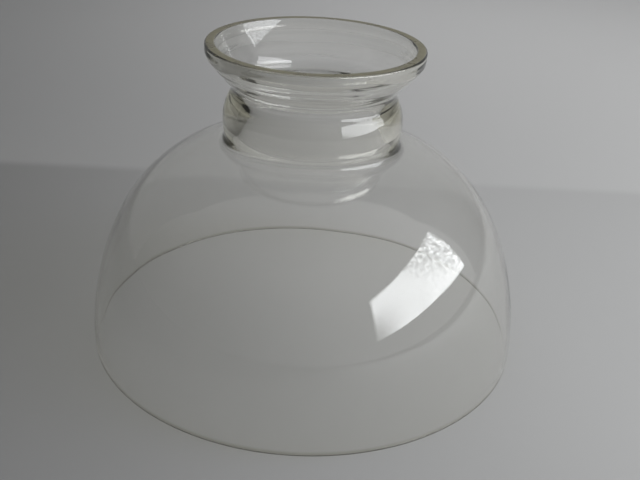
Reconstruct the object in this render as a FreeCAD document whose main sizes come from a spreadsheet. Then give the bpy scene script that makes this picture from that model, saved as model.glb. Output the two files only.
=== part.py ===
"""Clear blown-glass dome shade for a table oil lamp, as a parametric FreeCAD document.

The shade is one piece of glass, turned about the vertical axis: a thin foot rim that sits on the
lamp's shade ring, a dome, a thick neck with a bulged collar, and a flared mouth whose rim is
ground flat. Its frame has +Z up, the origin on the axis at the foot rim, and sizes in millimetres.
"""
import FreeCAD
import Part
import math
import os

import Sketcher
from FreeCAD import Vector

# Driving dimensions in millimetres, each with what it measures.
SIZES = [
    ("seat_diameter", 235.0, "outside of the foot rim, which sits on the shade ring"),
    ("dome_wall", 2.0, "thickness of the dome's glass"),
    ("side_radius", 150.0, "curve of the dome's side, seen in section"),
    ("side_height", 67.0, "level where the side turns into the shoulder"),
    ("shoulder_radius", 83.0, "curve of the dome's shoulder, seen in section"),
    ("waist_round", 5.0, "hollow round where the shoulder meets the collar"),
    ("bore_diameter", 76.6, "straight bore of the neck, which the chimney passes"),
    ("bore_foot_round", 12.0, "round where the bore opens into the dome"),
    ("bore_top_round", 20.0, "round where the bore opens into the mouth"),
    ("bore_top_drop", 4.0, "top of the straight bore below the throat's level"),
    ("collar_lift", 10.3, "collar's widest level above the shoulder, at the bore's wall"),
    ("collar_wall", 8.1, "thickness of the glass at the collar's widest level"),
    ("throat_lift", 16.0, "throat's level above the collar's widest level"),
    ("throat_wall", 3.9, "thickness of the glass at the throat"),
    ("throat_round", 6.0, "hollow round of the throat"),
    ("flare_lift", 19.9, "level where the outside has turned upright, above the throat's level"),
    ("mouth_flare", 11.9, "how far the mouth widens beyond the bore, on the radius"),
    ("rim_width", 5.0, "thickness of the glass at the ground rim"),
    ("rim_band", 3.4, "upright band from there to the ground rim"),
    ("rim_edge_round", 1.0, "worn round of the ground rim's outer edge"),
    ("mouth_edge_round", 0.4, "worn round of the ground rim's inner edge"),
    ("lip_round", 7.0, "round where the flare turns upright, outside"),
    ("inner_flare_round", 55.0, "hollow curve of the mouth's inside, seen in section"),
    ("foot_edge_round", 0.5, "melted round of the foot rim, on both edges"),
]

START, END, CENTRE = 1, 2, 3  # the points of a sketch edge, as the sketcher numbers them
SKETCH_ORIGIN = (-1, 1)
HORIZONTAL_AXIS = -1


class WallSection:
    """The section of the glass wall: a closed chain of edges, each tangent to the next."""

    def __init__(self, sketch):
        self.sketch = sketch
        self.chain = []

    def straight(self, start, end):
        """Add a line in the chain's direction, and return its number."""
        number = self.sketch.addGeometry(Part.LineSegment(start, end), False)
        self.chain.append((number, START, END))
        return number

    def arc(self, centre, start, end, clockwise=False):
        """Add an arc in the chain's direction, and return its number.

        The sketcher draws every arc anticlockwise, so a clockwise one is entered at its end.
        """
        radius = (start - centre).Length
        first, last = (end, start) if clockwise else (start, end)
        angles = [math.atan2(point.y - centre.y, point.x - centre.x) for point in (first, last)]
        circle = Part.Circle(centre, Vector(0, 0, 1), radius)
        number = self.sketch.addGeometry(Part.ArcOfCircle(circle, *angles), False)
        self.chain.append((number, END, START) if clockwise else (number, START, END))
        return number

    def close(self):
        """Join the end of every edge to the start of the next, with no corner."""
        for (first, _, leave), (second, enter, _) in zip(self.chain, self.chain[1:] + self.chain[:1]):
            self.fix("Tangent", first, leave, second, enter)

    def fix(self, kind, *where):
        """Add a constraint that has no size, such as Vertical."""
        self.sketch.addConstraint(Sketcher.Constraint(kind, *where))

    def size(self, kind, *where, value, formula):
        """Add a dimension and bind it to the sheet with a formula."""
        number = self.sketch.addConstraint(Sketcher.Constraint(kind, *where, value))
        self.sketch.setExpression("Constraints[%d]" % number, formula)

    def widest(self, arc, centre, value, formula):
        """Size the widest point of an arc, marked by a construction line from its centre."""
        point = Vector(value, centre.y)
        mark = self.sketch.addGeometry(Part.LineSegment(centre, point), True)
        self.fix("Coincident", mark, START, arc, CENTRE)
        self.fix("PointOnObject", mark, END, arc)
        self.fix("Horizontal", mark)
        self.size("DistanceX", *SKETCH_ORIGIN, mark, END, value=value, formula=formula)


def make_sheet(doc):
    """Write the driving dimensions into a spreadsheet, one alias to a row."""
    sheet = doc.addObject("Spreadsheet::Sheet", "Sizes")
    for row, (alias, value, meaning) in enumerate(SIZES, start=1):
        sheet.set("A%d" % row, meaning)
        sheet.set("B%d" % row, str(value))
        sheet.setAlias("B%d" % row, alias)
    doc.recompute()
    return sheet


def towards(start, target, distance):
    """The point at a distance from start on the way to target."""
    return start + (target - start).normalize() * distance


def crossings(centre_a, radius_a, centre_b, radius_b):
    """Where two circles cross: the point nearer to the axis, then the one further out."""
    apart = centre_b - centre_a
    along = (apart.Length ** 2 + radius_a ** 2 - radius_b ** 2) / (2 * apart.Length)
    aside = math.sqrt(radius_a ** 2 - along ** 2)
    line = Vector(apart).normalize()
    foot, across = centre_a + line * along, Vector(line.y, -line.x) * aside
    return sorted((foot + across, foot - across), key=lambda point: point.x)


def resting_centre(centre, distance, level):
    """The point at a distance from a centre and at a level, on the side away from the axis."""
    return Vector(centre.x + math.sqrt(distance ** 2 - (level - centre.y) ** 2), level)


def crossing_tangent(centre_a, radius_a, centre_b, radius_b):
    """The straight that passes between two circles: its touching points on a, then on b.

    Circle a lies on the line's right and circle b on its left, going from a to b.
    """
    apart = centre_b - centre_a
    turn = math.asin((radius_a + radius_b) / apart.Length)
    heading = math.atan2(apart.y, apart.x) - turn
    left = Vector(-math.sin(heading), math.cos(heading))
    return centre_a + left * radius_a, centre_b - left * radius_b


def draw_section(sketch, size):
    """Draw the wall's section, up the outside, over the rim and down the inside.

    X in the sketch is the distance from the axis and Y is the height. Every edge is drawn where
    its sizes put it, and its constraints then hold it there.
    """
    wall = WallSection(sketch)
    seat = size.seat_diameter / 2
    bore = size.bore_diameter / 2
    throat = bore + size.throat_wall
    collar = bore + size.collar_wall
    mouth = bore + size.mouth_flare
    rim = mouth + size.rim_width
    right, left, up = Vector(1, 0), Vector(-1, 0), Vector(0, 1)

    # The dome: its two faces share one centre for the side and one for the shoulder.
    side_centre = Vector(seat - size.side_radius, 0)
    turn = math.asin(size.side_height / size.side_radius)
    outwards = Vector(math.cos(turn), math.sin(turn))
    shoulder_centre = side_centre + outwards * (size.side_radius - size.shoulder_radius)
    inner_side_radius = size.side_radius - size.dome_wall
    inner_shoulder_radius = size.shoulder_radius - size.dome_wall

    # The foot rim: a flat between two melted rounds, each of which touches a face of the dome.
    foot_centre = resting_centre(side_centre, size.side_radius - size.foot_edge_round, size.foot_edge_round)
    inner_foot_centre = resting_centre(side_centre, inner_side_radius + size.foot_edge_round,
                                       size.foot_edge_round)

    # The neck and mouth, level by level above the shoulder at the bore's wall.
    neck_level = shoulder_centre.y + math.sqrt(size.shoulder_radius ** 2 - (bore - shoulder_centre.x) ** 2)
    collar_level = neck_level + size.collar_lift
    throat_level = collar_level + size.throat_lift
    lip_level = throat_level + size.flare_lift
    top = lip_level + size.rim_band
    throat_centre = Vector(throat + size.throat_round, throat_level)
    reach = collar - throat_centre.x
    collar_round = (reach ** 2 + size.throat_lift ** 2 - size.throat_round ** 2) / (2 * (collar - throat))
    collar_centre = Vector(collar - collar_round, collar_level)
    _, waist_centre = crossings(shoulder_centre, size.shoulder_radius + size.waist_round,
                                collar_centre, collar_round + size.waist_round)
    lip_centre = Vector(rim - size.lip_round, lip_level)
    flare_foot, flare_head = crossing_tangent(throat_centre, size.throat_round, lip_centre, size.lip_round)
    rim_centre = Vector(rim - size.rim_edge_round, top - size.rim_edge_round)

    # The inside of the mouth and neck.
    mouth_centre = Vector(mouth + size.mouth_edge_round, top - size.mouth_edge_round)
    bore_top_centre = Vector(bore + size.bore_top_round, throat_level - size.bore_top_drop)
    inner_flare_centre, _ = crossings(bore_top_centre, size.bore_top_round + size.inner_flare_round,
                                      mouth_centre, size.mouth_edge_round + size.inner_flare_round)
    foot_reach = bore + size.bore_foot_round - shoulder_centre.x
    foot_rise = math.sqrt((inner_shoulder_radius + size.bore_foot_round) ** 2 - foot_reach ** 2)
    bore_foot_centre = shoulder_centre + Vector(foot_reach, foot_rise)

    # Where each edge hands over to the next.
    side_foot = towards(side_centre, foot_centre, size.side_radius)
    shoulder_foot = side_centre + outwards * size.side_radius
    shoulder_head = towards(shoulder_centre, waist_centre, size.shoulder_radius)
    collar_foot = towards(collar_centre, waist_centre, collar_round)
    collar_head = towards(collar_centre, throat_centre, collar_round)
    lip_head = lip_centre + right * size.lip_round
    rim_foot = rim_centre + right * size.rim_edge_round
    rim_head = rim_centre + up * size.rim_edge_round
    mouth_head = mouth_centre + up * size.mouth_edge_round
    inner_flare_head = towards(mouth_centre, inner_flare_centre, size.mouth_edge_round)
    inner_flare_foot = towards(bore_top_centre, inner_flare_centre, size.bore_top_round)
    bore_head = bore_top_centre + left * size.bore_top_round
    bore_foot = bore_foot_centre + left * size.bore_foot_round
    inner_shoulder_head = towards(shoulder_centre, bore_foot_centre, inner_shoulder_radius)
    inner_shoulder_foot = side_centre + outwards * inner_side_radius
    inner_side_foot = towards(side_centre, inner_foot_centre, inner_side_radius)
    flat_start = Vector(inner_foot_centre.x, 0)
    flat_end = Vector(foot_centre.x, 0)

    side = wall.arc(side_centre, side_foot, shoulder_foot)
    shoulder = wall.arc(shoulder_centre, shoulder_foot, shoulder_head)
    waist = wall.arc(waist_centre, shoulder_head, collar_foot, clockwise=True)
    bulge = wall.arc(collar_centre, collar_foot, collar_head)
    hollow = wall.arc(throat_centre, collar_head, flare_foot, clockwise=True)
    wall.straight(flare_foot, flare_head)
    lip = wall.arc(lip_centre, flare_head, lip_head)
    band = wall.straight(lip_head, rim_foot)
    rim_edge = wall.arc(rim_centre, rim_foot, rim_head)
    ground = wall.straight(rim_head, mouth_head)
    mouth_edge = wall.arc(mouth_centre, mouth_head, inner_flare_head)
    inner_flare = wall.arc(inner_flare_centre, inner_flare_head, inner_flare_foot, clockwise=True)
    bore_top = wall.arc(bore_top_centre, inner_flare_foot, bore_head)
    bore_line = wall.straight(bore_head, bore_foot)
    bore_round = wall.arc(bore_foot_centre, bore_foot, inner_shoulder_head)
    inner_shoulder = wall.arc(shoulder_centre, inner_shoulder_head, inner_shoulder_foot,
                              clockwise=True)
    inner_side = wall.arc(side_centre, inner_shoulder_foot, inner_side_foot, clockwise=True)
    inner_foot_edge = wall.arc(inner_foot_centre, inner_side_foot, flat_start)
    flat = wall.straight(flat_start, flat_end)
    foot_edge = wall.arc(foot_centre, flat_end, side_foot)
    wall.close()

    # A construction line stands on the shoulder at the bore's wall and reaches the collar's level.
    neck = sketch.addGeometry(Part.LineSegment(Vector(bore, neck_level), Vector(bore, collar_level)), True)
    wall.fix("PointOnObject", neck, START, shoulder)
    wall.fix("PointOnObject", neck, START, bore_line)
    wall.fix("Vertical", neck)
    wall.fix("Horizontal", neck, END, bulge, CENTRE)
    wall.size("DistanceY", neck, START, neck, END, value=size.collar_lift, formula="Sizes.collar_lift")

    wall.fix("PointOnObject", side, CENTRE, HORIZONTAL_AXIS)
    wall.fix("PointOnObject", flat, START, HORIZONTAL_AXIS)
    wall.fix("Horizontal", flat)
    wall.fix("Coincident", inner_side, CENTRE, side, CENTRE)
    wall.fix("Coincident", inner_shoulder, CENTRE, shoulder, CENTRE)
    wall.fix("Vertical", band)
    wall.fix("Horizontal", ground)
    wall.fix("Vertical", bore_line)

    wall.widest(side, side_centre, value=seat, formula="Sizes.seat_diameter / 2")
    wall.size("Radius", foot_edge, value=size.foot_edge_round, formula="Sizes.foot_edge_round")
    wall.size("Radius", side, value=size.side_radius, formula="Sizes.side_radius")
    wall.size("DistanceY", *SKETCH_ORIGIN, side, END, value=size.side_height, formula="Sizes.side_height")
    wall.size("Radius", shoulder, value=size.shoulder_radius, formula="Sizes.shoulder_radius")
    wall.size("Radius", waist, value=size.waist_round, formula="Sizes.waist_round")
    wall.widest(bulge, collar_centre, value=collar, formula="Sizes.bore_diameter / 2 + Sizes.collar_wall")
    wall.size("DistanceY", bulge, CENTRE, hollow, CENTRE, value=size.throat_lift, formula="Sizes.throat_lift")
    wall.size("DistanceX", *SKETCH_ORIGIN, hollow, CENTRE, value=throat_centre.x,
              formula="Sizes.bore_diameter / 2 + Sizes.throat_wall + Sizes.throat_round")
    wall.size("Radius", hollow, value=size.throat_round, formula="Sizes.throat_round")
    wall.size("Radius", lip, value=size.lip_round, formula="Sizes.lip_round")
    wall.size("DistanceX", *SKETCH_ORIGIN, band, END, value=rim,
              formula="Sizes.bore_diameter / 2 + Sizes.mouth_flare + Sizes.rim_width")
    wall.size("DistanceY", lip, CENTRE, ground, START, value=size.rim_band, formula="Sizes.rim_band")
    wall.size("Radius", rim_edge, value=size.rim_edge_round, formula="Sizes.rim_edge_round")
    wall.size("DistanceY", hollow, CENTRE, lip, CENTRE, value=size.flare_lift, formula="Sizes.flare_lift")

    wall.size("Radius", mouth_edge, value=size.mouth_edge_round, formula="Sizes.mouth_edge_round")
    wall.size("DistanceX", *SKETCH_ORIGIN, mouth_edge, CENTRE, value=mouth_centre.x,
              formula="Sizes.bore_diameter / 2 + Sizes.mouth_flare + Sizes.mouth_edge_round")
    wall.size("Radius", inner_flare, value=size.inner_flare_round, formula="Sizes.inner_flare_round")
    wall.size("DistanceY", bore_top, CENTRE, hollow, CENTRE, value=size.bore_top_drop,
              formula="Sizes.bore_top_drop")
    wall.size("Radius", bore_top, value=size.bore_top_round, formula="Sizes.bore_top_round")
    wall.size("DistanceX", *SKETCH_ORIGIN, bore_line, START, value=bore, formula="Sizes.bore_diameter / 2")
    wall.size("Radius", bore_round, value=size.bore_foot_round, formula="Sizes.bore_foot_round")
    wall.size("Radius", inner_side, value=inner_side_radius, formula="Sizes.side_radius - Sizes.dome_wall")
    wall.size("Radius", inner_foot_edge, value=size.foot_edge_round, formula="Sizes.foot_edge_round")


def origin_plane(body, role):
    """One of the body's own origin planes."""
    return next(plane for plane in body.Origin.OriginFeatures if plane.Role == role)


def build_shade(doc, size):
    """Turn the wall's section about the axis: the whole shade is this one piece of glass."""
    body = doc.addObject("PartDesign::Body", "glass_shade")
    body.Label = "glass_shade"
    body.Placement = FreeCAD.Placement()
    sketch = body.newObject("Sketcher::SketchObject", "wall_section")
    sketch.AttachmentSupport = (origin_plane(body, "XZ_Plane"), [""])
    sketch.MapMode = "FlatFace"
    draw_section(sketch, size)
    turned = body.newObject("PartDesign::Revolution", "turned_wall")
    turned.Profile = sketch
    turned.ReferenceAxis = (sketch, ["V_Axis"])
    turned.Angle = 360
    return body


def check(doc, bodies):
    """Stop before anything is written if a feature failed or a shape is unsound."""
    for item in doc.Objects:
        if {"Invalid", "Error"} & set(item.State):
            raise RuntimeError("%s did not build: %s" % (item.Label, item.State))
    for body in bodies:
        if body.Shape.isNull() or not body.Shape.isValid() or len(body.Shape.Solids) != 1:
            raise RuntimeError("%s is not one sound solid" % body.Label)


def main():
    doc = FreeCAD.newDocument("glass_shade")
    size = make_sheet(doc)
    bodies = [build_shade(doc, size)]
    doc.recompute()
    check(doc, bodies)
    os.makedirs("parts", exist_ok=True)
    for body in bodies:
        body.Shape.exportStep("parts/%s.step" % body.Label)
        box = body.Shape.BoundBox
        print("%s: %.1f x %.1f x %.1f mm, %.1f cm3"
              % (body.Label, box.XLength, box.YLength, box.ZLength, body.Shape.Volume / 1000))


main()
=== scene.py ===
"""Clear blown-glass dome lamp shade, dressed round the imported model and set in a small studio."""

import logging
import math
from dataclasses import dataclass, field
from enum import Enum
from typing import Any

import bpy
from mathutils import Matrix, Vector


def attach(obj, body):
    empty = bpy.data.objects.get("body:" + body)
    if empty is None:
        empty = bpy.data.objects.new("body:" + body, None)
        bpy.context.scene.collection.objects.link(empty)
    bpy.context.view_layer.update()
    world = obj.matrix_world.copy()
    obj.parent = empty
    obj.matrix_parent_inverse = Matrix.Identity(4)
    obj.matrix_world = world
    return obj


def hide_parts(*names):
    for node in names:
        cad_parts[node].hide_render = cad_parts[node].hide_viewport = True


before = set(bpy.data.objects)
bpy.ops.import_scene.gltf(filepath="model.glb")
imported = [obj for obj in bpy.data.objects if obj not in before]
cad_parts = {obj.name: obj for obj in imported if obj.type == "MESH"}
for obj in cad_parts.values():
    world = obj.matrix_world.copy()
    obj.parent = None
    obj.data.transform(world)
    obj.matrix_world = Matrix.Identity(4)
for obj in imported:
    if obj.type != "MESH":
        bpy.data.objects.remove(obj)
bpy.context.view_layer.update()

LOG = logging.getLogger("lamp_shade")
MM = 0.001
LIGHT_BOUNCES = 24

Point = tuple[float, float]
Span = tuple[float, float]
Place = tuple[float, float, float]
Colour = tuple[float, float, float]


def metres(span: Span) -> Span:
    """Returns a span of lengths in mm as one in metres."""
    return span[0] * MM, span[1] * MM


class Bend(Enum):
    """Which way an arc of the wall's section turns as the section is followed."""

    LEFT = 1
    RIGHT = -1


class NodeBench:
    """Adds and joins the nodes of one tree."""

    def __init__(self, tree: bpy.types.NodeTree) -> None:
        """Keeps the tree that the nodes go into."""
        self.tree = tree

    def add(self, kind: str, values: dict[Any, Any] | None = None, **settings: Any) -> bpy.types.Node:
        """Adds a node.

        Args:
            kind: Blender's name for the node type.
            values: What each input gets, by the input's name or number: a value, or a socket to link.
            settings: The node's own settings.

        Returns:
            The new node.
        """
        node = self.tree.nodes.new(kind)
        for name, value in settings.items():
            setattr(node, name, value)
        for name, value in (values or {}).items():
            if isinstance(value, bpy.types.NodeSocket):
                self.tree.links.new(value, node.inputs[name])
            else:
                node.inputs[name].default_value = value
        return node

    def math(self, operation: str, *values: Any) -> bpy.types.NodeSocket:
        """Adds a Math node.

        Args:
            operation: Blender's name for the sum.
            values: Its numbers or sockets, in order.

        Returns:
            The socket with the result.
        """
        node = self.add("ShaderNodeMath", dict(enumerate(values)), operation=operation)
        return node.outputs[0]

    def vector(self, operation: str, values: dict[Any, Any]) -> bpy.types.NodeSocket:
        """Adds a Vector Math node.

        Args:
            operation: Blender's name for the sum.
            values: Its inputs by number or name.

        Returns:
            The socket with the resulting vector.
        """
        return self.add("ShaderNodeVectorMath", values, operation=operation).outputs[0]

    def split(self, vector: bpy.types.NodeSocket) -> tuple[bpy.types.NodeSocket, ...]:
        """Returns the sockets with a vector's X, Y and Z."""
        return tuple(self.add("ShaderNodeSeparateXYZ", {0: vector}).outputs)

    def ramp(
        self, value: bpy.types.NodeSocket, span: Span, start: Any = 0.0, end: Any = 1.0
    ) -> bpy.types.NodeSocket:
        """Adds a smooth step from one value to another.

        Args:
            value: The socket that is read.
            span: Where the step starts and where it ends.
            start: The result before the step, a number or a socket.
            end: The result after it.

        Returns:
            The socket with the result.
        """
        values = {"Value": value, "From Min": span[0], "From Max": span[1], "To Min": start, "To Max": end}
        return self.add("ShaderNodeMapRange", values, interpolation_type="SMOOTHSTEP").outputs[0]

    def noise(self, place: bpy.types.NodeSocket, scale: float, detail: float = 2.0) -> bpy.types.NodeSocket:
        """Adds a soft random pattern.

        Args:
            place: Where the pattern is read.
            scale: How many times it repeats in a unit of length.
            detail: How much finer grain it has.

        Returns:
            The socket with the pattern, from 0 to 1.
        """
        return self.add("ShaderNodeTexNoise", {"Vector": place, "Scale": scale, "Detail": detail}).outputs[0]

    def blend(
        self, share: bpy.types.NodeSocket, under: bpy.types.NodeSocket, over: bpy.types.NodeSocket
    ) -> bpy.types.NodeSocket:
        """Adds a mix of two shaders.

        Args:
            share: How much of the second shader shows.
            under: The first shader.
            over: The second shader.

        Returns:
            The mixed shader.
        """
        return self.add("ShaderNodeMixShader", {0: share, 1: under, 2: over}).outputs[0]


@dataclass
class WallSection:
    """The closed section of the glass wall, as (radius, height) points in mm."""

    seat_diameter: float = 235.0
    dome_wall: float = 2.0
    side_radius: float = 150.0
    side_height: float = 67.0
    shoulder_radius: float = 83.0
    waist_round: float = 5.0
    bore_diameter: float = 76.6
    bore_foot_round: float = 12.0
    bore_top_round: float = 20.0
    bore_top_drop: float = 4.0
    collar_lift: float = 10.3
    collar_wall: float = 8.1
    throat_lift: float = 16.0
    throat_wall: float = 3.9
    throat_round: float = 6.0
    flare_lift: float = 19.9
    mouth_flare: float = 11.9
    rim_width: float = 5.0
    rim_band: float = 3.4
    rim_edge_round: float = 1.0
    mouth_edge_round: float = 0.4
    lip_round: float = 7.0
    inner_flare_round: float = 55.0
    foot_edge_round: float = 0.5
    longest_step: float = 3.6
    bore_step: float = 1.4
    fine_step: float = 0.75
    least_steps: int = 6
    points: list[Point] = field(default_factory=list)

    def arc(self, centre: Vector, start: Vector, end: Vector, bend: Bend, step: float) -> None:
        """Adds the points of an arc, without its first.

        Args:
            centre: The arc's centre.
            start: A point in the direction of the arc's start.
            end: The arc's last point.
            bend: Which way it turns.
            step: The most that two points may lie apart.
        """
        radius = (end - centre).length
        first = math.atan2(start.y - centre.y, start.x - centre.x)
        last = math.atan2(end.y - centre.y, end.x - centre.x)
        turn = bend.value * ((bend.value * (last - first)) % math.tau)
        count = max(self.least_steps, math.ceil(abs(turn) * radius / step))
        for i in range(1, count + 1):
            angle = first + turn * i / count
            self.points.append((centre.x + radius * math.cos(angle), centre.y + radius * math.sin(angle)))

    def straight(self, end: Vector, step: float) -> None:
        """Adds the points of a straight run, without its first.

        Args:
            end: The run's last point.
            step: The most that two points may lie apart.
        """
        start = Vector(self.points[-1])
        count = max(1, math.ceil((end - start).length / step))
        for i in range(1, count + 1):
            self.points.append(tuple(start.lerp(end, i / count)))

    @staticmethod
    def towards(start: Vector, target: Vector, distance: float) -> Vector:
        """Returns the point that lies a distance from start on the line to target."""
        return start + (target - start).normalized() * distance

    @staticmethod
    def resting_centre(centre: Vector, distance: float, level: float) -> Vector:
        """Returns the point at a level that lies a distance outwards from centre."""
        return Vector((centre.x + math.sqrt(distance**2 - (level - centre.y) ** 2), level))

    @staticmethod
    def crossings(centre_a: Vector, radius_a: float, centre_b: Vector, radius_b: float) -> list[Vector]:
        """Finds where two circles cross.

        Args:
            centre_a: The first circle's centre.
            radius_a: The first circle's radius.
            centre_b: The second circle's centre.
            radius_b: The second circle's radius.

        Returns:
            The crossing nearer to the axis, then the one further out.
        """
        apart = centre_b - centre_a
        along = (apart.length**2 + radius_a**2 - radius_b**2) / (2 * apart.length)
        side = math.sqrt(radius_a**2 - along**2)
        unit = apart.normalized()
        foot = centre_a + unit * along
        across = Vector((-unit.y, unit.x)) * side
        return sorted((foot + across, foot - across), key=lambda p: p.x)

    @staticmethod
    def crossing_tangent(
        centre_a: Vector, radius_a: float, centre_b: Vector, radius_b: float
    ) -> tuple[Vector, Vector]:
        """Finds the line that leaves the first circle on its left and meets the second on its right.

        Args:
            centre_a: The first circle's centre.
            radius_a: The first circle's radius.
            centre_b: The second circle's centre.
            radius_b: The second circle's radius.

        Returns:
            Where the line touches each circle.
        """
        apart = centre_b - centre_a
        heading = math.atan2(apart.y, apart.x) - math.asin((radius_a + radius_b) / apart.length)
        left = Vector((-math.sin(heading), math.cos(heading)))
        return centre_a + left * radius_a, centre_b - left * radius_b

    def trace(self) -> list[Point]:
        """Follows the wall round, up its outside and down its inside.

        Returns:
            The closed section's points, in order.
        """
        seat, bore = self.seat_diameter / 2, self.bore_diameter / 2
        throat, collar = bore + self.throat_wall, bore + self.collar_wall
        mouth = bore + self.mouth_flare
        rim = mouth + self.rim_width
        foot, edge, mouth_edge = self.foot_edge_round, self.rim_edge_round, self.mouth_edge_round

        side = Vector((seat - self.side_radius, 0.0))
        lean = math.asin(self.side_height / self.side_radius)
        outwards = Vector((math.cos(lean), math.sin(lean)))
        shoulder = side + outwards * (self.side_radius - self.shoulder_radius)
        shoulder_inner = self.shoulder_radius - self.dome_wall
        side_inner = self.side_radius - self.dome_wall
        foot_centre = self.resting_centre(side, self.side_radius - foot, foot)
        inner_foot = self.resting_centre(side, side_inner + foot, foot)

        neck_level = shoulder.y + math.sqrt(self.shoulder_radius**2 - (bore - shoulder.x) ** 2)
        collar_level = neck_level + self.collar_lift
        throat_level = collar_level + self.throat_lift
        lip_level = throat_level + self.flare_lift
        top = lip_level + self.rim_band

        throat_centre = Vector((throat + self.throat_round, throat_level))
        reach = (collar - throat_centre.x) ** 2 + self.throat_lift**2 - self.throat_round**2
        collar_round = reach / (2 * (collar - throat))
        collar_centre = Vector((collar - collar_round, collar_level))
        waist_reach = self.shoulder_radius + self.waist_round
        waist = self.crossings(shoulder, waist_reach, collar_centre, collar_round + self.waist_round)[1]
        lip = Vector((rim - self.lip_round, lip_level))
        flare_low, flare_high = self.crossing_tangent(throat_centre, self.throat_round, lip, self.lip_round)
        rim_centre = Vector((rim - edge, top - edge))
        mouth_centre = Vector((mouth + mouth_edge, top - mouth_edge))
        bore_top = Vector((bore + self.bore_top_round, throat_level - self.bore_top_drop))
        low_reach = self.bore_top_round + self.inner_flare_round
        high_reach = mouth_edge + self.inner_flare_round
        inner_flare = self.crossings(bore_top, low_reach, mouth_centre, high_reach)[0]
        inner_low = self.towards(bore_top, inner_flare, self.bore_top_round)
        inner_high = self.towards(mouth_centre, inner_flare, mouth_edge)
        foot_reach = shoulder_inner + self.bore_foot_round
        bore_foot_x = bore + self.bore_foot_round
        bore_foot_y = shoulder.y + math.sqrt(foot_reach**2 - (bore_foot_x - shoulder.x) ** 2)
        bore_foot = Vector((bore_foot_x, bore_foot_y))

        wide, fine = self.longest_step, self.fine_step
        outer_foot = self.towards(side, foot_centre, self.side_radius)
        self.points = [tuple(outer_foot)]
        self.arc(side, outer_foot, side + outwards * self.side_radius, Bend.LEFT, wide)
        waist_low = self.towards(waist, shoulder, self.waist_round)
        waist_high = self.towards(waist, collar_centre, self.waist_round)
        throat_low = self.towards(throat_centre, collar_centre, self.throat_round)
        self.arc(shoulder, Vector(self.points[-1]), waist_low, Bend.LEFT, wide)
        self.arc(waist, waist_low, waist_high, Bend.RIGHT, fine)
        self.arc(collar_centre, waist_high, throat_low, Bend.LEFT, fine)
        self.arc(throat_centre, throat_low, flare_low, Bend.RIGHT, fine)
        self.straight(flare_high, fine)
        self.arc(lip, flare_high, Vector((rim, lip_level)), Bend.LEFT, fine)
        self.straight(Vector((rim, rim_centre.y)), fine)
        self.arc(rim_centre, Vector(self.points[-1]), Vector((rim_centre.x, top)), Bend.LEFT, fine)
        self.straight(Vector((mouth_centre.x, top)), wide)
        self.arc(mouth_centre, Vector(self.points[-1]), inner_high, Bend.LEFT, fine)
        self.arc(inner_flare, inner_high, inner_low, Bend.RIGHT, fine)
        self.arc(bore_top, inner_low, Vector((bore, bore_top.y)), Bend.LEFT, fine)
        self.straight(Vector((bore, bore_foot.y)), self.bore_step)
        inner_shoulder = self.towards(shoulder, bore_foot, shoulder_inner)
        self.arc(bore_foot, Vector(self.points[-1]), inner_shoulder, Bend.LEFT, fine)
        self.arc(shoulder, inner_shoulder, shoulder + outwards * shoulder_inner, Bend.RIGHT, wide)
        inner_side = self.towards(side, inner_foot, side_inner)
        self.arc(side, Vector(self.points[-1]), inner_side, Bend.RIGHT, wide)
        self.arc(inner_foot, inner_side, Vector((inner_foot.x, 0.0)), Bend.LEFT, fine)
        self.straight(Vector((foot_centre.x, 0.0)), wide)
        self.arc(foot_centre, Vector(self.points[-1]), outer_foot, Bend.LEFT, fine)
        self.points.pop()
        return self.points


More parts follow.
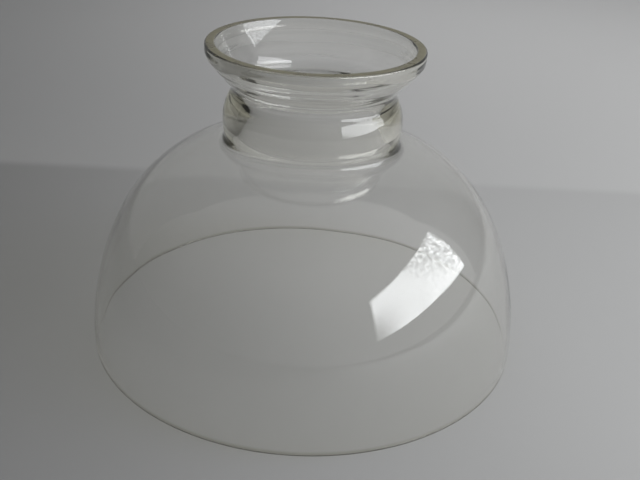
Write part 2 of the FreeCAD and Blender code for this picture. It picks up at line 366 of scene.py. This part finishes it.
@dataclass(frozen=True)
class ClearGlass:
    """Old clear glass: faintly olive where it is thick, a little dusty, with a painted shade at its foot."""

    name: str = "clear_glass"
    tint: Colour = (0.72, 0.69, 0.46)
    tint_density: float = 20.0
    shade_tint: Colour = (0.965, 0.965, 0.955)
    ior: float = 1.5
    foot_shade_tone: Colour = (0.72, 0.71, 0.66)
    foot_shade_span: Span = (2.6, 0.6)
    bloom_scale: float = 26.0
    bloom_patches: Span = (0.52, 0.75)
    bloom_roughness: float = 0.035
    dust_tone: Colour = (0.46, 0.46, 0.44)
    dust_slope: Span = (0.1, 0.9)
    dust_thin: float = 0.012
    dust_thick: float = 0.022
    drift_scale: float = 34.0
    drift_patches: Span = (0.3, 0.75)
    drift_share: Span = (0.6, 1.4)
    speck_scale: float = 420.0
    speck_size: Span = (0.12, 0.04)
    speck_spread: float = 900.0
    speck_patches: Span = (0.60, 0.68)
    speck_cover: float = 0.35

    def clear(self, bench: NodeBench) -> bpy.types.Node:
        """Sets up the tree's own shader as clear glass.

        Args:
            bench: The material's nodes.

        Returns:
            The shader's node.
        """
        glass = bench.tree.nodes["Principled BSDF"]
        glass.inputs["IOR"].default_value = self.ior
        glass.inputs["Transmission Weight"].default_value = 1.0
        return glass

    def paint_foot_shade(self, bench: NodeBench, level: bpy.types.NodeSocket) -> bpy.types.NodeSocket:
        """Darkens the glass softly at its foot rim: a painted shade, standing in for the shadow where the
        rim meets the floor.

        Args:
            bench: The material's nodes.
            level: The height above the foot rim.

        Returns:
            The colour that the glass lets through.
        """
        # painted shade: the glass is tinted darker towards its foot rim, standing in for the contact shadow
        # there
        foot_shadow_share = bench.ramp(level, metres(self.foot_shade_span))
        tones = {"Factor": foot_shadow_share, "A": (1.0, 1.0, 1.0, 1.0), "B": (*self.foot_shade_tone, 1.0)}
        return bench.add("ShaderNodeMix", tones, data_type="RGBA").outputs[2]

    def polish(self, bench: NodeBench, place: bpy.types.NodeSocket) -> bpy.types.NodeSocket:
        """Leaves the fire-polished face clear, with a faint bloom in patches.

        Args:
            bench: The material's nodes.
            place: Where on the shade the finish is read.

        Returns:
            The roughness.
        """
        bloom = bench.noise(place, self.bloom_scale, 3.0)
        return bench.ramp(bloom, self.bloom_patches, 0.0, self.bloom_roughness)

    def dust(self, bench: NodeBench, place: bpy.types.NodeSocket) -> bpy.types.NodeSocket:
        """Spreads dust: a thin even film, thicker on faces that look up, and scattered specks.

        Args:
            bench: The material's nodes.
            place: Where on the shade the finish is read.

        Returns:
            How much of the surface the dust hides.
        """
        upwards = bench.split(bench.add("ShaderNodeNewGeometry").outputs["Normal"])[2]
        lying = bench.ramp(upwards, self.dust_slope, self.dust_thin, self.dust_thick)
        drift = bench.noise(place, self.drift_scale, 4.0)
        film = bench.math("MULTIPLY", lying, bench.ramp(drift, self.drift_patches, *self.drift_share))
        grains = bench.add("ShaderNodeTexVoronoi", {"Vector": place, "Scale": self.speck_scale})
        few = bench.ramp(bench.noise(place, self.speck_spread), self.speck_patches, 0.0, self.speck_cover)
        specks = bench.math("MULTIPLY", bench.ramp(grains.outputs["Distance"], self.speck_size), few)
        return bench.math("MAXIMUM", film, specks)

    def body(self, bench: NodeBench, place: bpy.types.NodeSocket) -> bpy.types.NodeSocket:
        """Makes the glass itself.

        Args:
            bench: The material's nodes.
            place: Where on the shade the finish is read.

        Returns:
            The shader.
        """
        glass = self.clear(bench)
        bench.tree.links.new(self.paint_foot_shade(bench, bench.split(place)[2]), glass.inputs["Base Color"])
        bench.tree.links.new(self.polish(bench, place), glass.inputs["Roughness"])
        film = bench.add("ShaderNodeBsdfDiffuse", {"Color": (*self.dust_tone, 1.0)})
        return bench.blend(self.dust(bench, place), glass.outputs[0], film.outputs[0])

    def material(self) -> bpy.types.Material:
        """Makes the finish.

        Returns:
            The glass material, which lets lamplight through unbent.
        """
        made = bpy.data.materials.new(self.name)
        made.use_nodes = True
        bench = NodeBench(made.node_tree)
        output = made.node_tree.nodes["Material Output"]
        place = bench.add("ShaderNodeTexCoord").outputs["Object"]
        surface = self.body(bench, place)
        volume = bench.add(
            "ShaderNodeVolumeAbsorption", {"Color": (*self.tint, 1.0), "Density": self.tint_density}
        )
        unbent = bench.add("ShaderNodeBsdfTransparent", {"Color": (*self.shade_tint, 1.0)}).outputs[0]
        path = bench.add("ShaderNodeLightPath")
        soft = bench.blend(path.outputs["Is Diffuse Ray"], surface, unbent)
        lit = bench.blend(path.outputs["Is Shadow Ray"], soft, unbent)
        made.node_tree.links.new(lit, output.inputs["Surface"])
        made.node_tree.links.new(volume.outputs[0], output.inputs["Volume"])
        return made


@dataclass(frozen=True)
class GroundGlass(ClearGlass):
    """The mouth's flat rim, ground, and half polished again by wear."""

    name: str = "ground_rim"
    haze_tone: Colour = (0.235, 0.222, 0.165)
    haze_share: Span = (0.55, 0.80)
    cloud_scale: float = 90.0
    cloud_patches: Span = (0.3, 0.7)
    cloud_roughness: Span = (0.22, 0.42)
    grinding_scale: float = 2600.0
    grinding_strength: float = 0.25
    grinding_depth: float = 0.05

    def body(self, bench: NodeBench, place: bpy.types.NodeSocket) -> bpy.types.NodeSocket:
        """Makes the ground face: rough glass under an olive haze, with fine grinding marks.

        Args:
            bench: The material's nodes.
            place: Where on the shade the finish is read.

        Returns:
            The shader.
        """
        glass = self.clear(bench)
        cloud = bench.noise(place, self.cloud_scale, 3.0)
        rough = bench.ramp(cloud, self.cloud_patches, *self.cloud_roughness)
        bench.tree.links.new(rough, glass.inputs["Roughness"])
        marks = {"Height": bench.noise(place, self.grinding_scale), "Strength": self.grinding_strength,
                 "Distance": self.grinding_depth * MM}
        bench.tree.links.new(bench.add("ShaderNodeBump", marks).outputs[0], glass.inputs["Normal"])
        haze = bench.add("ShaderNodeBsdfDiffuse", {"Color": (*self.haze_tone, 1.0)})
        share = bench.ramp(cloud, self.cloud_patches, *self.haze_share)
        return bench.blend(share, glass.outputs[0], haze.outputs[0])


@dataclass
class DomeShade:
    """The whole shade: one glass wall, turned round the lamp's axis. Its lengths are in mm."""

    section: WallSection = field(default_factory=WallSection)
    glass: ClearGlass = field(default_factory=ClearGlass)
    ground: GroundGlass = field(default_factory=GroundGlass)
    segments: int = 368
    turning_radius: float = 60.0
    wave_height: float = 0.10
    wave_length: float = 55.0
    wave_seed: float = 2.0
    mark_height: float = 0.32
    mark_pitch: float = 2.1
    mark_stretch: float = 0.04
    inner_marks: float = 0.05
    back_marks: float = 0.3
    true_foot: Span = (8.0, 30.0)
    true_rim: Span = (161.0, 158.0)
    marks_begin: Span = (128.0, 138.0)
    back_begins: Span = (0.0, 35.0)
    outside_facing: Span = (-0.3, 0.3)
    ground_depth: float = 0.02

    def section_mesh(self) -> bpy.types.Mesh:
        """Lays the section out flat, measured from the turning circle.

        Returns:
            A closed loop of edges.
        """
        outline = reversed(self.section.trace())
        points = [((radius - self.turning_radius) * MM, -height * MM, 0.0) for radius, height in outline]
        count = len(points)
        mesh = bpy.data.meshes.new("wall section")
        mesh.from_pydata(points, [(i, (i + 1) % count) for i in range(count)], [])
        return mesh

    def inputs(self) -> dict[str, tuple[str, Any]]:
        """Lists what the turning tree is given.

        Returns:
            The socket type and the value of each input, by its name.
        """
        top = max(height for _, height in self.section.points)
        return {
            "Segments": ("NodeSocketInt", self.segments),
            "Turning Radius": ("NodeSocketFloat", self.turning_radius * MM),
            "Wave Height": ("NodeSocketFloat", self.wave_height * MM),
            "Wave Length": ("NodeSocketFloat", self.wave_length * MM),
            "Wave Seed": ("NodeSocketFloat", self.wave_seed),
            "Mark Height": ("NodeSocketFloat", self.mark_height * MM),
            "Mark Pitch": ("NodeSocketFloat", self.mark_pitch * MM),
            "Inner Marks": ("NodeSocketFloat", self.inner_marks),
            "Back Marks": ("NodeSocketFloat", self.back_marks),
            "Ground Level": ("NodeSocketFloat", (top - self.ground_depth) * MM),
            "Glass": ("NodeSocketMaterial", self.glass.material()),
            "Ground Glass": ("NodeSocketMaterial", self.ground.material()),
        }

    @staticmethod
    def swell(
        bench: NodeBench, place: bpy.types.NodeSocket, length: bpy.types.NodeSocket,
        height: bpy.types.NodeSocket, share: bpy.types.NodeSocket
    ) -> bpy.types.NodeSocket:
        """Makes the wall swell and sink a little, at random.

        Args:
            bench: The tree's nodes.
            place: Where on the wall the swell is read.
            length: How far apart the swells lie.
            height: How far the wall moves at most.
            share: How much of the swell shows.

        Returns:
            Half the distance by which the wall moves outwards.
        """
        seed = bench.tree.nodes["Group Input"].outputs["Wave Seed"]
        values = {"Vector": place, "W": seed, "Scale": bench.math("DIVIDE", 1.0, length), "Detail": 1.0}
        noise = bench.add("ShaderNodeTexNoise", values, noise_dimensions="4D").outputs[0]
        even = bench.math("SUBTRACT", noise, 0.5)
        return bench.math("MULTIPLY", even, bench.math("MULTIPLY", height, share))

    def bulges(self, bench: NodeBench, outwards: bpy.types.NodeSocket) -> bpy.types.NodeSocket:
        """Moves the turned wall by its slow waves, and by tool marks on the neck and the mouth's outside.

        Args:
            bench: The tree's nodes.
            outwards: The way that the wall's face looks.

        Returns:
            The offset.
        """
        given = bench.tree.nodes["Group Input"].outputs
        place = bench.add("GeometryNodeInputPosition").outputs[0]
        _, depth, level = bench.split(place)
        below_rim = bench.ramp(level, metres(self.true_rim))
        free = bench.math("MULTIPLY", bench.ramp(level, metres(self.true_foot)), below_rim)
        worked = bench.math("MULTIPLY", bench.ramp(level, metres(self.marks_begin)), below_rim)
        radial = bench.vector("NORMALIZE", {0: bench.vector("MULTIPLY", {0: place, 1: (1.0, 1.0, 0.0)})})
        turned = bench.add("ShaderNodeVectorMath", {0: outwards, 1: radial}, operation="DOT_PRODUCT")
        outside = bench.ramp(turned.outputs["Value"], self.outside_facing, given["Inner Marks"], 1.0)
        front = bench.ramp(depth, metres(self.back_begins), 1.0, given["Back Marks"])
        worked = bench.math("MULTIPLY", bench.math("MULTIPLY", worked, outside), front)
        stretch = bench.vector("MULTIPLY", {0: place, 1: (self.mark_stretch, self.mark_stretch, 1.0)})
        wave = self.swell(bench, place, given["Wave Length"], given["Wave Height"], free)
        mark = self.swell(bench, stretch, given["Mark Pitch"], given["Mark Height"], worked)
        distance = bench.math("MULTIPLY_ADD", mark, 2.0, bench.math("MULTIPLY", wave, 2.0))
        return bench.vector("SCALE", {0: outwards, "Scale": distance})

    def turning_tree(self, inputs: dict[str, tuple[str, Any]]) -> bpy.types.NodeTree:
        """Builds the tree that turns a flat section into a wavy glass wall.

        Args:
            inputs: The socket type and the value of each input, by its name.

        Returns:
            The Geometry Nodes tree.
        """
        tree = bpy.data.node_groups.new("turned glass wall", "GeometryNodeTree")
        tree.interface.new_socket("Section", in_out="INPUT", socket_type="NodeSocketGeometry")
        for name, (kind, _) in inputs.items():
            tree.interface.new_socket(name, in_out="INPUT", socket_type=kind)
        tree.interface.new_socket("Wall", in_out="OUTPUT", socket_type="NodeSocketGeometry")
        bench = NodeBench(tree)
        given = bench.add("NodeGroupInput").outputs
        outline = bench.add("GeometryNodeMeshToCurve", {"Mesh": given["Section"]})
        circle = bench.add("GeometryNodeCurvePrimitiveCircle",
                           {"Resolution": given["Segments"], "Radius": given["Turning Radius"]})
        wall = bench.add("GeometryNodeCurveToMesh",
                         {"Curve": circle.outputs["Curve"], "Profile Curve": outline.outputs[0]})
        outwards = bench.add("GeometryNodeInputNormal").outputs["Normal"]
        blown = bench.add("GeometryNodeSetPosition",
                          {"Geometry": wall.outputs["Mesh"], "Offset": self.bulges(bench, outwards)})
        smooth = bench.add("GeometryNodeSetShadeSmooth", {"Geometry": blown.outputs[0]})
        single = bench.add("GeometryNodeRealizeInstances", {"Geometry": smooth.outputs[0]})
        clear = bench.add("GeometryNodeSetMaterial",
                          {"Geometry": single.outputs[0], "Material": given["Glass"]})
        level = bench.split(bench.add("GeometryNodeInputPosition").outputs[0])[2]
        ground = bench.math("GREATER_THAN", level, given["Ground Level"])
        rim = bench.add("GeometryNodeSetMaterial", {"Geometry": clear.outputs[0], "Selection": ground,
                                                    "Material": given["Ground Glass"]})
        bench.add("NodeGroupOutput", {0: rim.outputs[0]})
        return tree

    def build(self) -> bpy.types.Object:
        """Turns the wall and gives it its glass.

        Returns:
            The finished shade as a plain mesh at the origin.
        """
        blank = bpy.data.objects.new("wall section", self.section_mesh())
        bpy.context.scene.collection.objects.link(blank)
        inputs = self.inputs()
        turning = blank.modifiers.new("turning", "NODES")
        turning.node_group = self.turning_tree(inputs)
        for item in turning.node_group.interface.items_tree:
            if item.in_out == "INPUT" and item.name in inputs:
                turning[item.identifier] = inputs[item.name][1]
        evaluated = blank.evaluated_get(bpy.context.evaluated_depsgraph_get())
        mesh = bpy.data.meshes.new_from_object(evaluated)
        mesh.name = "dome_shade"
        bpy.data.objects.remove(blank)
        shade = bpy.data.objects.new("dome_shade", mesh)
        bpy.context.scene.collection.objects.link(shade)
        return shade


@dataclass
class Studio:
    """A pale floor and backdrop, a tall window's soft light from the right, and a dim room round them."""

    floor_reach: float = 3.0
    floor_slant: float = 0.35
    floor_shade: float = 0.75
    shade_span: Span = (-0.30, -0.17)
    near_span: Span = (-0.25, 0.16)
    near_painted_light: Span = (0.205, 0.355)
    far_span: Span = (-0.6, 0.2)
    far_painted_light: Span = (0.21, 0.405)
    far_begins: Span = (0.196, 0.212)
    paler_span: Span = (0.15, 0.85)
    paler_share: Span = (0.97, 1.45)
    backdrop_distance: float = 0.95
    backdrop_tone: float = 0.5
    window_distance: float = 1.0
    window_middle: Point = (-0.57, 0.51)
    window_size: Point = (1.48, 0.58)
    window_power: float = 19.3
    window_colour: Colour = (0.955, 0.98, 1.0)
    pane_scale: float = 12.0
    pane_grain: float = 5.0
    pane_contrast: Span = (0.35, 0.65)
    pane_depth: float = 0.68
    pane_haze: float = 0.25
    pane_slant: float = 0.5
    pane_end: Span = (0.82, 1.22)
    sill_shade: float = 0.75
    sill_length: Span = (0.45, 0.0)
    sill_height: Span = (0.75, 0.0)
    spill_power: float = 4.0
    spill_place: Place = (0.8, 0.0, 0.6)
    spill_size: Point = (0.6, 0.6)
    room_width: Span = (-0.9, 0.9)
    room_sides: Span = (0.12, 0.50)
    room_height: Span = (0.0, 0.9)
    room_above: float = 0.30

    def panel(self, name: str, corners: list[Place], finish: bpy.types.Material) -> bpy.types.Object:
        """Makes a flat stage panel.

        Args:
            name: The panel's name.
            corners: Its four corners in order.
            finish: Its material.

        Returns:
            The panel.
        """
        mesh = bpy.data.meshes.new(name)
        mesh.from_pydata(corners, [], [(0, 1, 2, 3)])
        mesh.materials.append(finish)
        made = bpy.data.objects.new(name, mesh)
        bpy.context.scene.collection.objects.link(made)
        return made

    @staticmethod
    def matt(name: str, roughness: float, gloss: float) -> bpy.types.Material:
        """Makes a matt finish that still needs its colour.

        Args:
            name: The finish's name.
            roughness: Its roughness.
            gloss: How much it mirrors.

        Returns:
            The material.
        """
        made = bpy.data.materials.new(name)
        made.use_nodes = True
        shader = made.node_tree.nodes["Principled BSDF"]
        shader.inputs["Roughness"].default_value = roughness
        shader.inputs["Specular IOR Level"].default_value = gloss
        return made

    def floor_finish(self) -> bpy.types.Material:
        """Makes the floor's matt grey with painted light: darker on the left and lighter on the right, as
        the window's light falls, a painted shade further left, and paler behind the shade.

        Returns:
            The floor's material.
        """
        made = self.matt("pale_floor", 0.9, 0.1)
        bench = NodeBench(made.node_tree)
        across, away, _ = bench.split(bench.add("ShaderNodeTexCoord").outputs["Object"])
        slant = bench.math("MULTIPLY_ADD", away, self.floor_slant, across)
        # painted light: the floor's grey darkens to the left and brightens to the right as the window's
        # light falls; shaded adds a painted shade on the far left
        shaded = bench.ramp(slant, self.shade_span, self.floor_shade, 1.0)
        near = bench.math("MULTIPLY", bench.ramp(slant, self.near_span, *self.near_painted_light), shaded)
        far = bench.math("MULTIPLY", bench.ramp(across, self.far_span, *self.far_painted_light), shaded)
        paler = bench.math("MULTIPLY", far, bench.ramp(away, self.paler_span, *self.paler_share))
        behind = bench.ramp(away, self.far_begins)
        tone = bench.add("ShaderNodeMix", {"Factor": behind, "A": near, "B": paler})
        matt = made.node_tree.nodes["Principled BSDF"]
        made.node_tree.links.new(tone.outputs[0], matt.inputs["Base Color"])
        return made

    def backdrop_finish(self) -> bpy.types.Material:
        """Makes the backdrop's matt pale grey.

        Returns:
            The backdrop's material.
        """
        made = self.matt("pale_backdrop", 1.0, 0.0)
        grey = (self.backdrop_tone, self.backdrop_tone, self.backdrop_tone, 1)
        made.node_tree.nodes["Principled BSDF"].inputs["Base Color"].default_value = grey
        return made

    def lamp(
        self, name: str, place: Vector, aim: Vector, size: Point, power: float, seen: bool
    ) -> bpy.types.Object:
        """Hangs a rectangular soft light.

        Args:
            name: The light's name.
            place: Its middle.
            aim: What it faces.
            size: Its width and height.
            power: Its power in watts.
            seen: Whether glass mirrors and shows it.

        Returns:
            The light.
        """
        data = bpy.data.lights.new(name, "AREA")
        data.shape, data.size, data.size_y, data.energy = "RECTANGLE", size[0], size[1], power
        made = bpy.data.objects.new(name, data)
        made.location = place
        made.rotation_euler = (aim - place).to_track_quat("-Z", "Y").to_euler()
        made.visible_glossy = made.visible_transmission = seen
        bpy.context.scene.collection.objects.link(made)
        return made

    def pane_finish(self, data: bpy.types.AreaLight) -> None:
        """Makes the window's light cool, mottled at its far end and dimmer over its sill, as old panes do.

        Args:
            data: The window's light.
        """
        data.use_nodes = True
        bench = NodeBench(data.node_tree)
        pane = bench.add("ShaderNodeNewGeometry").outputs["Parametric"]
        even = bench.vector("MULTIPLY", {0: pane, 1: (self.window_size[0] / self.window_size[1], 1.0, 1.0)})
        ripple = bench.noise(even, self.pane_scale, self.pane_grain)
        along, up, _ = bench.split(pane)
        slant = bench.math("MULTIPLY_ADD", up, self.pane_slant, along)
        end = bench.math("ADD", bench.ramp(slant, self.pane_end), self.pane_haze)
        mottled = bench.math("MULTIPLY", end, bench.ramp(ripple, self.pane_contrast, 0.0, self.pane_depth))
        sill = bench.math("MULTIPLY", bench.ramp(along, self.sill_length), bench.ramp(up, self.sill_height))
        dim = bench.math("MULTIPLY_ADD", sill, self.sill_shade, mottled)
        emission = data.node_tree.nodes["Emission"]
        emission.inputs["Color"].default_value = (*self.window_colour, 1.0)
        data.node_tree.links.new(bench.math("SUBTRACT", 1.0, dim), emission.inputs["Strength"])

    def room(self) -> None:
        """Gives the world a dim room's light, darker on the left and brighter on the right and above."""
        world = bpy.data.worlds.new("room")
        world.use_nodes = True
        bench = NodeBench(world.node_tree)
        across, _, upwards = bench.split(bench.add("ShaderNodeTexCoord").outputs["Generated"])
        side = bench.ramp(across, self.room_width, *self.room_sides)
        above = bench.ramp(upwards, self.room_height, 0.0, self.room_above)
        background = world.node_tree.nodes["Background"]
        background.inputs["Color"].default_value = (1.0, 1.0, 1.0, 1.0)
        world.node_tree.links.new(bench.math("ADD", side, above), background.inputs["Strength"])
        bpy.context.scene.world = world

    def build(self) -> None:
        """Sets up the floor, the backdrop, the lights and the room."""
        reach, back = self.floor_reach, self.backdrop_distance
        floor = [(-reach, -reach, 0), (reach, -reach, 0), (reach, reach, 0), (-reach, reach, 0)]
        backdrop = [(-reach, back, 0), (reach, back, 0), (reach, back, reach), (-reach, back, reach)]
        self.panel("floor", floor, self.floor_finish())
        self.panel("backdrop", backdrop, self.backdrop_finish())
        middle, height = self.window_middle
        place = Vector((self.window_distance, middle, height))
        aim = place - Vector((1, 0, 0))
        window = self.lamp("window", place, aim, self.window_size, self.window_power, True)
        self.pane_finish(window.data)
        foot = Vector((0, 0, 0))
        self.lamp("spill", Vector(self.spill_place), foot, self.spill_size, self.spill_power, False)
        self.room()


@dataclass
class Viewpoint:
    """A camera above the table, looking down into the shade's mouth."""

    distance: float = 0.4303
    height: float = 0.2782
    lens: float = 49.4
    sensor: float = 36.0
    nearest: float = 0.01
    pitch: float = 0.4842
    roll: float = 0.0547
    yaw: float = -0.0166

    def build(self) -> bpy.types.Object:
        """Sets up the scene's camera.

        Returns:
            The camera.
        """
        ahead = Vector((0, math.cos(self.pitch), -math.sin(self.pitch)))
        right = Vector((1, 0, 0))
        up = right.cross(ahead)
        tilted = right * math.cos(self.roll) + up * math.sin(self.roll)
        raised = up * math.cos(self.roll) - right * math.sin(self.roll)
        turn = Matrix.Rotation(self.yaw, 3, "Z")
        axes = Matrix((turn @ tilted, turn @ raised, turn @ -ahead)).transposed().to_4x4()
        data = bpy.data.cameras.new("camera")
        data.lens, data.sensor_width, data.clip_start = self.lens, self.sensor, self.nearest
        camera = bpy.data.objects.new("camera", data)
        camera.matrix_world = Matrix.Translation((0, -self.distance, self.height)) @ axes
        bpy.context.scene.collection.objects.link(camera)
        bpy.context.scene.camera = camera
        return camera


def main() -> None:
    """Builds the shade, its studio and the camera, and reports each."""
    logging.basicConfig(level=logging.INFO, format="%(name)s: %(message)s")
    shade = DomeShade().build()
    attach(shade, "root")
    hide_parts("glass_shade")
    LOG.info("%s: %d faces", shade.name, len(shade.data.polygons))
    Studio().build()
    LOG.info("studio is up")
    camera = Viewpoint().build()
    LOG.info("%s looks from %s", camera.name, tuple(round(v, 3) for v in camera.matrix_world.translation))
    scene = bpy.context.scene
    scene.view_settings.view_transform = "Standard"
    scene.cycles.max_bounces = scene.cycles.transmission_bounces = LIGHT_BOUNCES
    scene.cycles.transparent_max_bounces = LIGHT_BOUNCES


if __name__ == "__main__":
    main()
